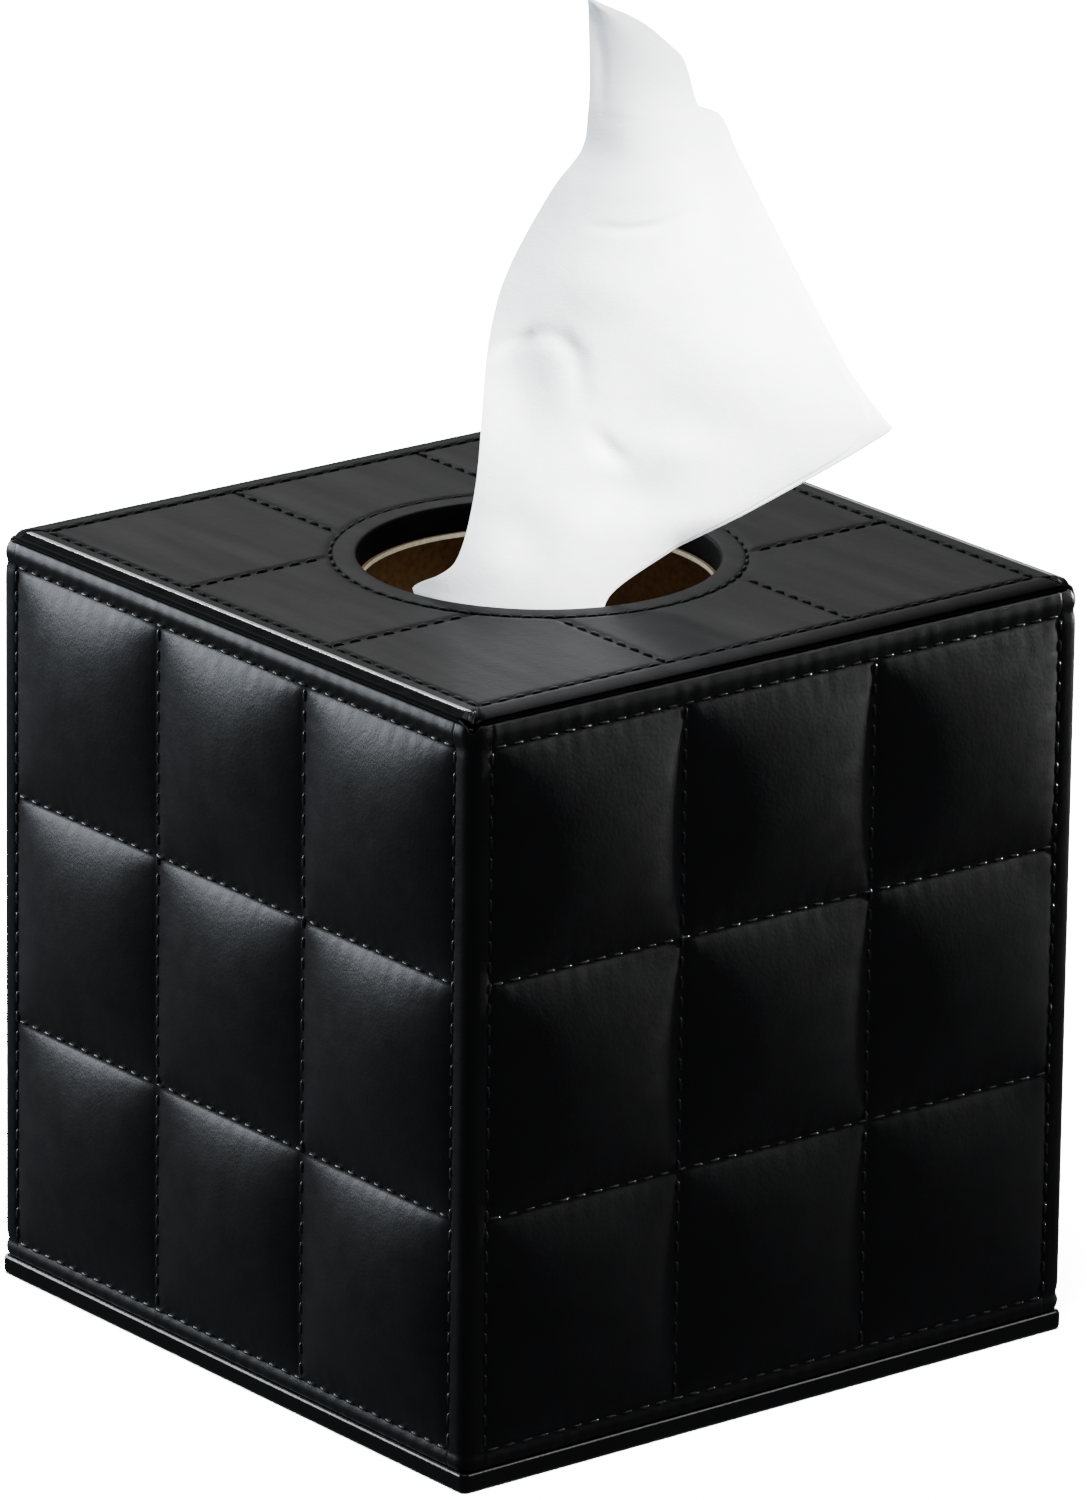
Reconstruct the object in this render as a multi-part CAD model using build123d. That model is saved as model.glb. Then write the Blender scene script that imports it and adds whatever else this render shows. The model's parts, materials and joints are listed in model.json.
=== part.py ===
"""Cube tissue dispenser: quilted leather walls, round top opening, hinged base flap and a pulled tissue.

Millimetres, +Z up. The origin lies under the middle of the base, the front wall faces -Y
and the flap hangs from the lower edge of the back wall (+Y).
"""
from build123d import *
import os
from math import cos, radians, sin

# Overall body
body_width = 135.0        # across the flat of two opposite walls, at the sewn corner bindings
wall_height = 130.9       # wall boards, from the flap up to the top board
wall_board = 3.4
top_board_thickness = 3.0
base_board_thickness = 2.1
leather = 0.8
lining = 0.8
top_foam_thickness = 1.2
corner_radius = 2.6       # upright corners, seen from above

# Quilting of the walls
rows = 3
columns = 3
pad_depth = 2.4           # from the wall board out to the plane of the bindings
seam_drop = 0.45          # how far the sewn channels lie behind that plane
crown = 3.5               # how far a stuffed cell rises above the channels
seam_gap = 1.0            # width of a sewn channel
foam_fit = 0.15           # foam clear of the leather over it
side_border = 4.7         # corner line to border stitches
end_border = 3.1          # hem edge to border stitches, above and below
hem_rise = 2.2            # upper hem above the wall boards
hem_width = 1.9
groove_gap = 0.2          # dark line between the walls and the two plates

# Top panel
top_border = 4.8          # edge to border stitches
top_groove_width = 1.2
top_groove_depth = 0.4
opening_radius = 31.9
ring_width = 4.5          # rolled rim, opening edge to ring of stitches
ring_rise = 0.3           # rim above the leather around it
rim_ledge = 0.6           # lining edge seen below the rim
ring_fit = 0.15

# Base flap
base_corner_radius = 1.4  # upright corners of its plate, seen from above
turn_in = 16.0            # leather folded over the upper side of the flap
flap_lining_inset = 0.5   # clear of the wall linings
hinge_length = 100.0
hinge_drop = 2.8          # strip below the top of the flap
hinge_rise = 3.0          # strip above it
hinge_crease = 0.6        # radius of the rolled crease that it bends on

# Magnets in the front wall and in the flap
magnet_length = 12.0
magnet_width = 4.0
magnet_thickness = 1.5
magnet_spacing = 80.0
magnet_fit = 0.1

# Tissues
stack_side_gap = 5.9      # room left and right of the stack
stack_end_gap = 7.9       # room before and behind it
stack_height = 60.0
sheet_thickness = 0.8
sheet_rise = 104.0        # tip above the top panel
sheet_reach = 60.5        # furthest corner, sideways from the middle of the opening
sheet_seat = 0.3          # clear of the stack
sheet_rim_gap = 1.3       # clear of the rim
sheet_tail_width = 31.6
sheet_turn = 51.0         # degrees, heading of the sheet's width

# Shares of the sizes above
edge_round_share = 0.8    # of the top plate's height
base_round_share = 0.25   # of the base plate's height
rim_round_share = 0.8     # of the leather
crown_stations_shares = ((-0.5, 0.05), (-0.32, 0.70), (0.0, 1.0), (0.32, 0.70), (0.5, 0.05))
# Height, left end, right end, place towards the viewer and bow, from the rim to the tip
sheet_stations_shares = (
    (0.100, -0.210, 0.446, 0.800, 0.10),
    (0.220, -0.174, 0.790, 0.745, 0.06),
    (0.293, -0.165, 1.000, 0.705, 0.03),
    (0.367, -0.155, 0.893, 0.670, 0.07),
    (0.518, -0.111, 0.742, 0.605, 0.15),
    (0.652, -0.003, 0.625, 0.555, 0.17),
    (0.751, 0.109, 0.554, 0.520, 0.14),
    (0.837, 0.129, 0.496, 0.500, 0.10),
    (0.921, 0.127, 0.370, 0.485, 0.06),
    (1.000, 0.122, 0.150, 0.470, 0.02),
)

# Planes, as distances from the upright middle axis
edge_plane = body_width / 2
board_plane = edge_plane - pad_depth
seam_plane = edge_plane - seam_drop
board_inner = board_plane - wall_board
lining_inner = board_inner - lining
hem_inner = edge_plane - hem_width

# Heights
base_thickness = base_board_thickness + 2 * leather
board_top = base_thickness + wall_height
cover_low = base_thickness + groove_gap
hem_top = board_top + hem_rise
foam_top = board_top + top_board_thickness + top_foam_thickness
body_top = foam_top + leather
top_lip = hem_top + groove_gap
rim_top = body_top + ring_rise
top_lining_low = board_top - lining
flap_lining_top = base_thickness + lining
stack_top = flap_lining_top + stack_height

# Quilted field of one wall
field_half = edge_plane - side_border
field_low = cover_low + end_border
field_high = hem_top - end_border
cell_width = 2 * field_half / columns
cell_height = (field_high - field_low) / rows


def block(x0, x1, y0, y1, z0, z1):
    """Box between two opposite corners."""
    return Pos((x0 + x1) / 2, (y0 + y1) / 2, (z0 + z1) / 2) * Box(x1 - x0, y1 - y0, z1 - z0)


def square(half, z0, z1):
    """Square plate round the middle axis."""
    return block(-half, half, -half, half, z0, z1)


def rounded_plate(half, radius, z0, z1):
    """Square plate with round upright corners."""
    return Pos(0, 0, z0) * extrude(RectangleRounded(2 * half, 2 * half, radius), z1 - z0)


def cylinder(radius, z0, z1):
    """Upright cylinder on the middle axis."""
    return Pos(0, 0, (z0 + z1) / 2) * Cylinder(radius, z1 - z0)


# Walls are drawn lying down: x along the wall, y up, z outwards. These turns stand them up.
walls = ("front", "right", "back", "left")
quarter_turn = 360 / len(walls)


def stand(solid, turn):
    """Stand a wall piece up and turn it to its side of the body."""
    return Rot(0, 0, turn) * (Rot(90, 0, 0) * solid)


def across_plane(x):
    """Upright plane across the wall: its own x runs up the wall and its y outwards."""
    return Plane(origin=(x, 0, 0), x_dir=(0, 1, 0), z_dir=(1, 0, 0))


def stuffed_cell(middle_x, middle_y, level, fit):
    """One stuffed cell, crowned both ways, rooted in the sheet whose face lies at the level."""
    width = cell_width - seam_gap - 2 * fit
    half = (cell_height - seam_gap) / 2 - fit
    root = level - leather / 4
    sections = []
    for place_share, rise_share in crown_stations_shares:
        sides = Polyline(
            (middle_y - half, level),
            (middle_y - half, root),
            (middle_y + half, root),
            (middle_y + half, level),
        )
        top = ThreePointArc(
            (middle_y + half, level),
            (middle_y, level + crown * rise_share),
            (middle_y - half, level),
        )
        sections.append(across_plane(middle_x + place_share * width) * make_face([sides, top]))
    return loft(sections)


def stuffed_cells(level, fit):
    """All cells of one wall."""
    cells = []
    for column in range(columns):
        for row in range(rows):
            middle_x = -field_half + (column + 0.5) * cell_width
            middle_y = field_low + (row + 0.5) * cell_height
            cells.append(stuffed_cell(middle_x, middle_y, level, fit))
    return cells


def quilt_foam(fit):
    """Foam of one wall, thin under the channels and full under each cell, or with no fit its space."""
    margin = seam_gap / 4 + fit
    side = field_half - margin
    level = seam_plane - leather - fit
    sheet = block(-side, side, field_low + margin, field_high - margin, board_plane, level)
    return sheet + stuffed_cells(level, fit)


def quilt_cover():
    """Leather of one wall with its rolled hems and its stuffed cells."""
    hem_middle = hem_top - end_border / 2
    foot_middle = cover_low + end_border / 2
    back = Polyline(
        (cover_low, seam_plane),
        (cover_low, board_plane),
        (board_top, board_plane),
        (board_top, hem_inner),
        (hem_top, hem_inner),
        (hem_top, seam_plane),
    )
    upper_roll = ThreePointArc((hem_top, seam_plane), (hem_middle, edge_plane), (field_high, seam_plane))
    face_line = Line((field_high, seam_plane), (field_low, seam_plane))
    lower_roll = ThreePointArc((field_low, seam_plane), (foot_middle, edge_plane), (cover_low, seam_plane))
    profile = across_plane(-field_half) * make_face([back, upper_roll, face_line, lower_roll])
    sheet = extrude(profile, 2 * field_half, dir=(1, 0, 0))
    return sheet + stuffed_cells(seam_plane, 0) - quilt_foam(0)


def corner_binding():
    """Leather over the front right corner, rounded outside, from stitch row to stitch row."""
    flat_end = edge_plane - corner_radius
    round_share = cos(radians(45))
    middle = flat_end + corner_radius * round_share
    inside = Polyline(
        (flat_end, -edge_plane),
        (field_half, -seam_plane),
        (field_half, -board_plane),
        (board_plane, -board_plane),
        (board_plane, -field_half),
        (seam_plane, -field_half),
        (edge_plane, -flat_end),
    )
    outside = ThreePointArc((edge_plane, -flat_end), (middle, -middle), (flat_end, -edge_plane))
    return Pos(0, 0, cover_low) * extrude(make_face([inside, outside]), hem_top - cover_low)


def magnets(y0, y1, z0, z1, fit):
    """The pair of magnets, or with a fit the pockets that take them."""
    pair = []
    for side in (-1, 1):
        middle = side * magnet_spacing / 2
        half = magnet_length / 2 + fit
        pair.append(block(middle - half, middle + half, y0 - fit, y1 + fit, z0 - fit, z1 + fit))
    return pair


parts = {}

# Walls
foam_pad = quilt_foam(foam_fit)
cover_sheet = quilt_cover()
for index, wall in enumerate(walls):
    turn = index * quarter_turn
    parts[wall + "_foam"] = stand(foam_pad, turn)
    parts[wall + "_quilt_cover"] = stand(cover_sheet, turn)
    through = wall in ("front", "back")
    board_end = board_plane if through else board_inner
    lining_end = board_inner if through else lining_inner
    board = block(-board_end, board_end, base_thickness, board_top, board_inner, board_plane)
    sheet = block(-lining_end, lining_end, flap_lining_top, top_lining_low, lining_inner, board_inner)
    parts[wall + "_board"] = stand(board, turn)
    parts[wall + "_lining"] = stand(sheet, turn)

# Corner bindings
corners = ("front_right", "back_right", "back_left", "front_left")
binding = corner_binding()
for index, corner in enumerate(corners):
    parts[corner + "_corner_binding"] = Rot(0, 0, index * quarter_turn) * binding

# Magnets of the front wall, let into the inner side of its board at the foot
magnet_place = (-board_inner - magnet_thickness, -board_inner, base_thickness, base_thickness + magnet_width)
parts["wall_magnets"] = Compound(magnets(*magnet_place, 0))
for pocket in magnets(*magnet_place, magnet_fit):
    parts["front_board"] -= pocket

# Top panel, from below: lining, board, foam, leather and the rolled rim of the opening
hole = opening_radius + leather + ring_fit
ring_outer = opening_radius + ring_width
parts["top_lining"] = square(board_inner, top_lining_low, board_top)
parts["top_lining"] -= cylinder(opening_radius - rim_ledge, top_lining_low, board_top)
board_high = board_top + top_board_thickness
parts["top_board"] = square(board_plane, board_top, board_high) - cylinder(hole, board_top, board_high)
parts["top_foam"] = square(board_plane, board_high, foam_top) - cylinder(hole, board_high, foam_top)

top_cover = rounded_plate(edge_plane, corner_radius, top_lip, body_top)
top_edges = top_cover.faces().sort_by(Axis.Z)[-1].edges()
top_cover = fillet(top_edges, (body_top - top_lip) * edge_round_share)
top_cover -= square(board_plane + ring_fit, top_lip, foam_top)
top_cover -= cylinder(ring_outer + ring_fit, foam_top, body_top)
top_field = edge_plane - top_border
top_cell = 2 * top_field / columns
groove_face = make_face(
    Polyline(
        (-top_groove_width / 2, body_top),
        (0, body_top - top_groove_depth),
        (top_groove_width / 2, body_top),
        close=True,
    )
)
groove = extrude(Plane.XZ * groove_face, top_field, both=True)
for line in range(columns + 1):
    place = -top_field + line * top_cell
    top_cover -= Pos(place, 0, 0) * groove
    top_cover -= Rot(0, 0, quarter_turn) * (Pos(place, 0, 0) * groove)
parts["top_cover"] = top_cover

rim_profile = make_face(
    Polyline(
        (opening_radius, board_top),
        (opening_radius + leather, board_top),
        (opening_radius + leather, foam_top),
        (ring_outer, foam_top),
        (ring_outer, rim_top),
        (opening_radius, rim_top),
        close=True,
    )
)
collar = revolve(Plane.XZ * rim_profile, Axis.Z)
rim_edges = collar.faces().sort_by(Axis.Z)[-1].edges()
parts["opening_collar"] = fillet(rim_edges, leather * rim_round_share)

# Base flap
base_cover = rounded_plate(edge_plane, base_corner_radius, 0, base_thickness)
base_edges = base_cover.faces().sort_by(Axis.Z)[-1].edges() + base_cover.faces().sort_by(Axis.Z)[0].edges()
base_cover = fillet(base_edges, base_thickness * base_round_share)
base_half = edge_plane - leather
base_cover -= square(base_half, leather, leather + base_board_thickness)
base_cover -= square(edge_plane - turn_in, leather, base_thickness)
parts["base_cover"] = base_cover
base_board_top = base_thickness - leather
flap_magnet_middle = (magnet_place[0] + magnet_place[1]) / 2
flap_magnet_place = (
    flap_magnet_middle - magnet_width / 2,
    flap_magnet_middle + magnet_width / 2,
    base_board_top - magnet_thickness,
    base_board_top,
)
parts["base_board"] = square(base_half, leather, base_board_top)
for pocket in magnets(*flap_magnet_place, magnet_fit):
    parts["base_board"] -= pocket
parts["flap_magnets"] = Compound(magnets(*flap_magnet_place, 0))
parts["base_lining"] = square(lining_inner - flap_lining_inset, base_thickness, flap_lining_top)
strip = block(
    -hinge_length / 2,
    hinge_length / 2,
    edge_plane,
    edge_plane + leather,
    base_thickness - hinge_drop,
    base_thickness + hinge_rise,
)
# Rolled crease along the hinge line
crease = Pos(0, edge_plane + leather / 2, base_thickness) * Rot(0, 90, 0) * Cylinder(hinge_crease, hinge_length)
parts["hinge_strip"] = strip + crease

# Tissues
stack_half = lining_inner - stack_side_gap
stack_reach = lining_inner - stack_end_gap
parts["tissue_stack"] = block(
    -stack_half, stack_half, -stack_reach, stack_reach, flap_lining_top, stack_top
)


def sheet_point(across, towards):
    """Place in plan, from the width of the sheet and the way towards the viewer."""
    turn = radians(sheet_turn)
    return (across * cos(turn) + towards * sin(turn), across * sin(turn) - towards * cos(turn))


def sheet_section(left, right, towards, bow, height):
    """Level cut through the sheet: two parallel arcs, one thickness apart."""
    middle = (left + right) / 2
    behind = towards - sheet_thickness
    front_arc = ThreePointArc(
        sheet_point(left, towards), sheet_point(middle, towards + bow), sheet_point(right, towards)
    )
    right_end = Line(sheet_point(right, towards), sheet_point(right, behind))
    back_arc = ThreePointArc(
        sheet_point(right, behind), sheet_point(middle, behind + bow), sheet_point(left, behind)
    )
    left_end = Line(sheet_point(left, behind), sheet_point(left, towards))
    return Pos(0, 0, height) * make_face([front_arc, right_end, back_arc, left_end])


tail_radius = opening_radius - sheet_rim_gap
tail_half = sheet_tail_width / 2
tail_towards = (tail_radius**2 - tail_half**2) ** 0.5
tail_bow = tail_radius - tail_towards
sections = []
for height in (stack_top + sheet_seat, rim_top + sheet_seat):
    sections.append(sheet_section(-tail_half, tail_half, tail_towards, tail_bow, height))
for height_share, left_share, right_share, towards_share, bow_share in sheet_stations_shares:
    sections.append(
        sheet_section(
            left_share * sheet_reach,
            right_share * sheet_reach,
            towards_share * opening_radius,
            bow_share * opening_radius,
            body_top + height_share * sheet_rise,
        )
    )
parts["tissue_sheet"] = loft(sections, ruled=True)

os.makedirs("parts", exist_ok=True)
for node, solid in parts.items():
    export_step(solid, "parts/" + node + ".step")
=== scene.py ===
"""Looks of the cube tissue dispenser: quilted leather, its stitching, linings and the pulled tissue.

The frame is in metres. Sizes here are in millimetres, and MM turns them into metres.
"""
import json
import math

import bpy
import numpy as np
from mathutils import Matrix, Vector


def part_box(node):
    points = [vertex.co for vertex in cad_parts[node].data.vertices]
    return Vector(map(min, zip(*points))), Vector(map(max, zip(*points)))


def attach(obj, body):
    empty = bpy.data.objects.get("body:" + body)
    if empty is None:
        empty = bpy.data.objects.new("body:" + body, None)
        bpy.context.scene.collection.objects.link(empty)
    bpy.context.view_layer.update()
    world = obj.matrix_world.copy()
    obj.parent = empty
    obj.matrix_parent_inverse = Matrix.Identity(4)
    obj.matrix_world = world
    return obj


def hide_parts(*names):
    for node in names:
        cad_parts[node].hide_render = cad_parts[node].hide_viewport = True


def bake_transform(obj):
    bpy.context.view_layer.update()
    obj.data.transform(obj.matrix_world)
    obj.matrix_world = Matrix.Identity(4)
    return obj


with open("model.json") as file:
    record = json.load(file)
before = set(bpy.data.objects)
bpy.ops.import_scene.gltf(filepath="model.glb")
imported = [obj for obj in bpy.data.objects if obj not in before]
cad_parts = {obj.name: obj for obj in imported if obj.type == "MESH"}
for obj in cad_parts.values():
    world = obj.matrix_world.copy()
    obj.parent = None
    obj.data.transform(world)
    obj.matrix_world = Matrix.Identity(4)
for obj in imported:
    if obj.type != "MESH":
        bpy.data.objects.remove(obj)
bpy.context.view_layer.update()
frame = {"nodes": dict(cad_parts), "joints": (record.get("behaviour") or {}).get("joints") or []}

MM = 0.001


def low(node):
    """Lowest corner of a node of the frame, in millimetres."""
    return np.array(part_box(node)[0]) / MM


def high(node):
    """Highest corner of a node of the frame, in millimetres."""
    return np.array(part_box(node)[1]) / MM


# Body, read from the frame
edge = high("top_cover")[0]  # plane of the bindings and of both plates
field = high("front_quilt_cover")[0]  # half width of a wall's quilted field
hem_low = low("front_quilt_cover")[2]
hem_top = high("front_quilt_cover")[2]
board_face = -low("front_board")[1]
crest = -low("front_quilt_cover")[1]  # furthest out that a stuffed cell comes
top_high = high("top_cover")[2]
ring = high("opening_collar")[1]  # radius of the ring of stitches round the opening
foam_low = low("top_foam")[2]
stack_low = low("tissue_stack")
stack_high = high("tissue_stack")
tail_low = low("tissue_sheet")[2]
tip = high("tissue_sheet")[2]

# Quilting
CELLS = 3  # stuffed cells each way
CELL_STEPS = 26  # cloth steps across one cell
CLOTH_FRAMES = 26  # time that the cells take to fill
CLOTH_SEED = 5
START_RISE = 0.03  # rise of a cell before it is blown up, in cell widths
START_UNEVEN = 0.001
FULL_PERCENT = 99  # share of the cloth that lies below a full crown
CROWN = 3.5  # rise of a stuffed cell above its seams
FULLNESS = 0.85  # below 1 the cells are steeper at their seams
LEATHER = 0.8
END_BORDER = 3.1  # hem edge to border stitches
HEM_RISE = 0.7  # rolled hems above the seams
FOAM_GAP = 0.1  # foam behind the leather
TUCK = 1.5  # leather that runs on under the corner bindings
TUCK_DROP = 1.0
CORNER_RADIUS = 2.6
CORNER_TURNS = 10  # mesh steps round a corner
CORNER_FALL = 1.3  # leather drawn down at the corners of the top
CORNER_PINCH = 0.5  # share of the upper hem's rise lost round the corners
seam = crest - CROWN
seam_drop = edge - seam  # seams behind the plane of the bindings
field_low = hem_low + END_BORDER
field_high = hem_top - END_BORDER

# Stitching
STITCHES = 34  # in one row across a wall
STITCH_LENGTH = 2.7
STITCH_RADIUS = 0.33
STITCH_RISE = 0.5  # top of a stitch above the seam
STITCH_STEPS = 4  # mesh steps along one stitch
THREAD_LEAN = 0.05  # how unevenly the stitches lie
THREAD_SEED = 11
PUCKER = 0.035  # leather drawn up between the stitches
PUCKER_REACH = 1.3
PUCKER_SHARE = 0.6  # mean share of the puckers along a seam
PUCKER_SWING = 0.4  # how far that share wanders
PUCKER_WAVES = (0.37, 0.11)  # radians a millimetre
PUCKER_START = 1.3  # radians
SEWN_DOWN = 1e-6  # leather lower than this is held by a seam
pitch = (field_high - field_low) / STITCHES

# Top panel
TOP_BORDER = 6.0  # edge to border stitches
TOP_GROOVE = 0.42
TOP_SWELL = 0.12  # rise of the top's cells
TOP_PUCKER = 0.25  # its puckers, as a share of the walls'
STITCH_SINK = 0.28  # stitches of the top below its leather
RING_STITCHES = 61
TOP_GROOVE_REACH = 0.75
RING_WIDTH = 4.5  # opening to its ring of stitches
top_field = edge - TOP_BORDER
opening = ring - RING_WIDTH
FAR = 1e9  # further than any distance on the part


def link(obj):
    """Put an object in the scene."""
    bpy.context.scene.collection.objects.link(obj)
    return obj


def new_mesh(name, points, faces, material):
    """Smooth mesh object from points in millimetres."""
    mesh = bpy.data.meshes.new(name)
    mesh.from_pydata((np.asarray(points, float).reshape(-1, 3) * MM).tolist(), [], faces)
    mesh.shade_smooth()
    mesh.materials.append(material)
    return link(bpy.data.objects.new(name, mesh))


def thicken(obj, thickness):
    """Give a surface its thickness, inwards, in its own mesh."""
    modifier = obj.modifiers.new("thickness", "SOLIDIFY")
    modifier.thickness = thickness * MM
    modifier.offset = -1
    shown = obj.evaluated_get(bpy.context.evaluated_depsgraph_get())
    mesh = bpy.data.meshes.new_from_object(shown)
    obj.modifiers.clear()
    obj.data = mesh


def place(obj, body, slot, *nodes):
    """Put a piece on its body and hide the nodes that it stands for; slot is not used."""
    if nodes:
        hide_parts(*nodes)
    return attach(obj, body)


def turn_points(points, turn):
    """Turn points about the upright axis, in degrees."""
    angle = math.radians(turn)
    x = points[..., 0] * math.cos(angle) - points[..., 1] * math.sin(angle)
    y = points[..., 0] * math.sin(angle) + points[..., 1] * math.cos(angle)
    return np.stack([x, y, points[..., 2]], axis=-1)


def grid_faces(rows, columns, closed=False):
    """Quads of a grid, row by row; a closed grid joins its last column to its first."""
    faces = []
    for row in range(rows - 1):
        for column in range(columns if closed else columns - 1):
            after = (column + 1) % columns
            faces.append((
                row * columns + column,
                row * columns + after,
                (row + 1) * columns + after,
                (row + 1) * columns + column,
            ))
    return faces


def grid_mesh(name, points, material):
    """Smooth mesh object over a grid of points in millimetres."""
    return new_mesh(name, points, grid_faces(*points.shape[:2]), material)


# Materials

def shader_of(made):
    """Main shader of a material."""
    return made.node_tree.nodes["Principled BSDF"]


def material(name, color, roughness):
    """Principled material with its even values set."""
    made = bpy.data.materials.new(name)
    made.use_nodes = True
    shader = shader_of(made)
    shader.inputs["Base Color"].default_value = (*color, 1.0)
    shader.inputs["Roughness"].default_value = roughness
    return made


def node(made, kind, **values):
    """Add a node and set its inputs by name."""
    added = made.node_tree.nodes.new("ShaderNode" + kind)
    for name, value in values.items():
        added.inputs[name.replace("_", " ")].default_value = value
    return added


def wire(made, output, target):
    """Join two sockets."""
    made.node_tree.links.new(output, target)


def place_socket(made, stretch=(1.0, 1.0, 1.0)):
    """Place on the object, stretched along its axes."""
    coordinates = node(made, "TexCoord")
    mapping = node(made, "Mapping", Scale=stretch)
    wire(made, coordinates.outputs["Object"], mapping.inputs["Vector"])
    return mapping.outputs["Vector"]


def ramp(made, value, stops):
    """Colour ramp over a value."""
    added = node(made, "ValToRGB")
    points = added.color_ramp.elements
    while len(points) < len(stops):
        points.new(0.5)
    for point, (position, color) in zip(points, stops):
        point.position = position
        point.color = (*color, 1.0)
    wire(made, value, added.inputs["Fac"])
    return added.outputs["Color"]


def tint(made, value, stops):
    """Colour a material by a ramp over a value."""
    wire(made, ramp(made, value, stops), shader_of(made).inputs["Base Color"])


def spread(made, value, least, most):
    """Map a value from 0 to 1 onto a range."""
    added = node(made, "MapRange")
    added.inputs["To Min"].default_value = least
    added.inputs["To Max"].default_value = most
    wire(made, value, added.inputs["Value"])
    return added.outputs["Result"]


def noise(made, place_on, size, detail=3.0):
    """Noise whose patches are about that many millimetres across."""
    added = node(made, "TexNoise", Scale=1.0 / (size * MM), Detail=detail)
    wire(made, place_on, added.inputs["Vector"])
    return added.outputs["Fac"]


def grain(made, place_on, size):
    """Pebbled cells about that many millimetres across."""
    added = node(made, "TexVoronoi", Scale=1.0 / (size * MM))
    added.feature = "SMOOTH_F1"
    wire(made, place_on, added.inputs["Vector"])
    return added.outputs["Distance"]


def bump(made, heights):
    """Chain of bumps, each a height socket with its depth in millimetres, into the shader."""
    before = None
    for height, depth in heights:
        added = node(made, "Bump", Distance=depth * MM)
        wire(made, height, added.inputs["Height"])
        if before:
            wire(made, before, added.inputs["Normal"])
        before = added.outputs["Normal"]
    wire(made, before, shader_of(made).inputs["Normal"])


def leather_material(name, streak, shine, gloss, tone):
    """Black coated leather: fine grain, soft wear in its tone, faint streaks in its shine."""
    made = material(name, (tone, tone, 1.1 * tone), 0.36)
    shader = shader_of(made)
    shader.inputs["Specular IOR Level"].default_value = gloss
    spot = place_socket(made)
    streaks = noise(made, place_socket(made, streak), 5.0, 4.0)
    worn = noise(made, spot, 9.0)
    dark = (0.8 * tone, 0.8 * tone, 0.85 * tone)
    pale = (1.2 * tone, 1.2 * tone, 1.35 * tone)
    tint(made, worn, ((0.3, dark), (0.7, pale)))
    wire(made, spread(made, streaks, shine - 0.07, shine + 0.10), shader.inputs["Roughness"])
    bump(made, ((grain(made, spot, 0.55), 0.018), (noise(made, spot, 2.2), 0.045), (streaks, 0.02)))
    return made


def thread_material(name, tone, shine, gloss):
    """Black thread with its twist, its fibres uneven about its tone; on the walls that tone is painted
    paler as a painted glint, on the top darker as painted shade.
    """
    made = material(name, (tone, tone, tone), shine)
    shader_of(made).inputs["Specular IOR Level"].default_value = gloss
    spot = place_socket(made)
    pale = (1.6 * tone, 1.6 * tone, 1.7 * tone)
    dark = (0.5 * tone, 0.5 * tone, 0.55 * tone)
    tint(made, noise(made, spot, 0.8), ((0.3, dark), (0.7, pale)))
    bump(made, ((noise(made, spot, 0.25), 0.05),))
    return made


def lining_material():
    """Brown suede-like lining."""
    made = material("brown_lining", (0.2, 0.09, 0.02), 0.85)
    shader_of(made).inputs["Sheen Weight"].default_value = 0.2
    spot = place_socket(made)
    nap = noise(made, spot, 1.1, 5.0)
    tint(made, nap, ((0.3, (0.16, 0.07, 0.014)), (0.7, (0.30, 0.14, 0.035))))
    bump(made, ((nap, 0.06), (noise(made, spot, 0.3), 0.03)))
    return made


def lining_edge_material():
    """The top lining: brown below; its upright cut faces are pale cream, partly its cut core and partly a
    painted highlight where the edge round the opening catches the light.
    """
    made = lining_material()
    made.name = "brown_lining_cut_edge"
    shader = shader_of(made)
    brown = shader.inputs["Base Color"].links[0].from_socket
    geometry = node(made, "NewGeometry")
    split = node(made, "SeparateXYZ")
    wire(made, geometry.outputs["Normal"], split.inputs["Vector"])
    upright = node(made, "Math")
    upright.operation = "ABSOLUTE"
    wire(made, split.outputs["Z"], upright.inputs[0])
    fibres = noise(made, place_socket(made), 0.7)
    # Pale cream of the upright faces: partly the cut core, partly a painted highlight of the lit edge.
    core = ramp(made, fibres, ((0.3, (0.66, 0.56, 0.33)), (0.7, (0.86, 0.80, 0.60))))
    mixed = node(made, "Mix")
    mixed.data_type = "RGBA"
    wire(made, upright.outputs[0], mixed.inputs["Factor"])
    wire(made, core, mixed.inputs["A"])
    wire(made, brown, mixed.inputs["B"])
    wire(made, mixed.outputs["Result"], shader.inputs["Base Color"])
    return made


def board_material():
    """Pressed grey-brown board with fibres."""
    made = material("board", (0.45, 0.34, 0.22), 0.9)
    fibres = noise(made, place_socket(made, (1.0, 1.0, 3.0)), 1.6, 6.0)
    tint(made, fibres, ((0.3, (0.34, 0.25, 0.16)), (0.7, (0.56, 0.44, 0.30))))
    bump(made, ((fibres, 0.05),))
    return made


def foam_material():
    """Pale open foam."""
    made = material("foam", (0.75, 0.74, 0.70), 0.95)
    pores = grain(made, place_socket(made), 0.7)
    tint(made, pores, ((0.1, (0.58, 0.57, 0.53)), (0.6, (0.80, 0.79, 0.75))))
    bump(made, ((pores, 0.12),))
    return made


def magnet_material():
    """Plated magnet, lightly scratched."""
    made = material("magnet", (0.62, 0.62, 0.64), 0.25)
    shader = shader_of(made)
    shader.inputs["Metallic"].default_value = 1.0
    scratches = noise(made, place_socket(made, (0.1, 1.0, 1.0)), 0.4, 4.0)
    wire(made, spread(made, scratches, 0.15, 0.4), shader.inputs["Roughness"])
    tint(made, scratches, ((0.3, (0.55, 0.55, 0.57)), (0.7, (0.68, 0.68, 0.70))))
    bump(made, ((scratches, 0.01),))
    return made


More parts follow.
